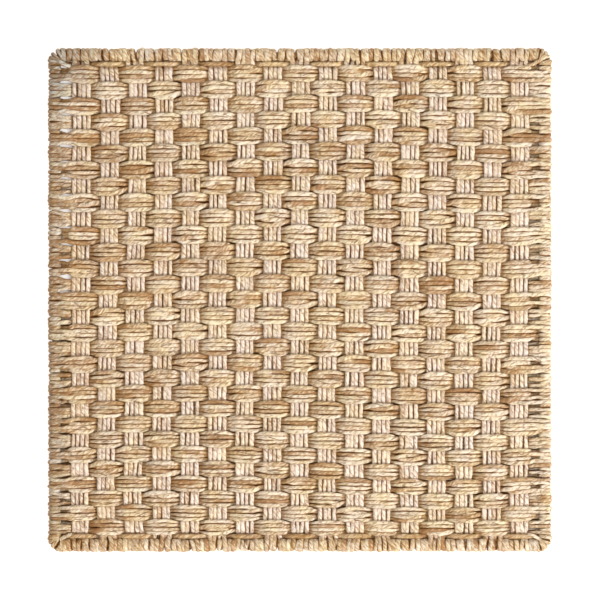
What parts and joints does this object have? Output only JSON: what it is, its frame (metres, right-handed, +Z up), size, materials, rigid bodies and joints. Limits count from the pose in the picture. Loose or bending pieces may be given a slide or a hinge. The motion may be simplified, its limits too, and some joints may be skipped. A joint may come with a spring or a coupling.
{
  "type": "woven chair seat pad",
  "caption": "Flat square seat pad woven from twisted dried-leaf strands in an over-and-under basket weave, closed by a whipped cord edge.",
  "frame": {"origin": "centre of the underside: the middle of the pad's width and depth, at the level of the surface that the pad lies on", "axes": "+Z up out of the sitting face, along the pad's thickness. +X to the right and +Y to the back edge, as seen from above with the looser rows at the back. The warp strands run along Y and the weft strands along X"},
  "size_m": [0.4, 0.4, 0.0107],
  "materials": {
    "warp_leaf": "dry matt leaf fibre with a slight sheen, pale pinkish cream",
    "weft_leaf": "dry matt twisted leaf fibre, cream to tan with browner patches",
    "locking_leaf": "dry matt twisted leaf fibre, tan",
    "edge_cord_leaf": "dry matt twisted leaf fibre, tan brown",
    "binding_leaf": "dry matt twisted leaf fibre, cream to tan"
  },
  "bodies": {
    "root": {"warp_01": "warp_leaf", "warp_02": "warp_leaf", "warp_03": "warp_leaf", "warp_04": "warp_leaf", "warp_05": "warp_leaf", "warp_06": "warp_leaf", "warp_07": "warp_leaf", "warp_08": "warp_leaf", "warp_09": "warp_leaf", "warp_10": "warp_leaf", "warp_11": "warp_leaf", "warp_12": "warp_leaf", "warp_13": "warp_leaf", "warp_14": "warp_leaf", "warp_15": "warp_leaf", "warp_16": "warp_leaf", "warp_17": "warp_leaf", "weft_01": "weft_leaf", "weft_02": "weft_leaf", "weft_03": "weft_leaf", "weft_04": "weft_leaf", "weft_05": "weft_leaf", "weft_06": "weft_leaf", "weft_07": "weft_leaf", "weft_08": "weft_leaf", "weft_09": "weft_leaf", "weft_10": "weft_leaf", "weft_11": "weft_leaf", "weft_12": "weft_leaf", "weft_13": "weft_leaf", "weft_14": "weft_leaf", "weft_15": "weft_leaf", "weft_16": "weft_leaf", "weft_17": "weft_leaf", "weft_18": "weft_leaf", "weft_19": "weft_leaf", "weft_20": "weft_leaf", "weft_21": "weft_leaf", "weft_22": "weft_leaf", "weft_23": "weft_leaf", "weft_24": "weft_leaf", "weft_25": "weft_leaf", "weft_26": "weft_leaf", "weft_27": "weft_leaf", "weft_28": "weft_leaf", "weft_29": "weft_leaf", "weft_30": "weft_leaf", "locking_strand_back": "locking_leaf", "locking_strand_front": "locking_leaf", "edge_cord": "edge_cord_leaf", "binding_left": "binding_leaf", "binding_right": "binding_leaf", "binding_back": "binding_leaf", "binding_front": "binding_leaf", "corner_binding_back_left": "binding_leaf", "corner_binding_back_right": "binding_leaf", "corner_binding_front_left": "binding_leaf", "corner_binding_front_right": "binding_leaf"}
  },
  "joints": []
}
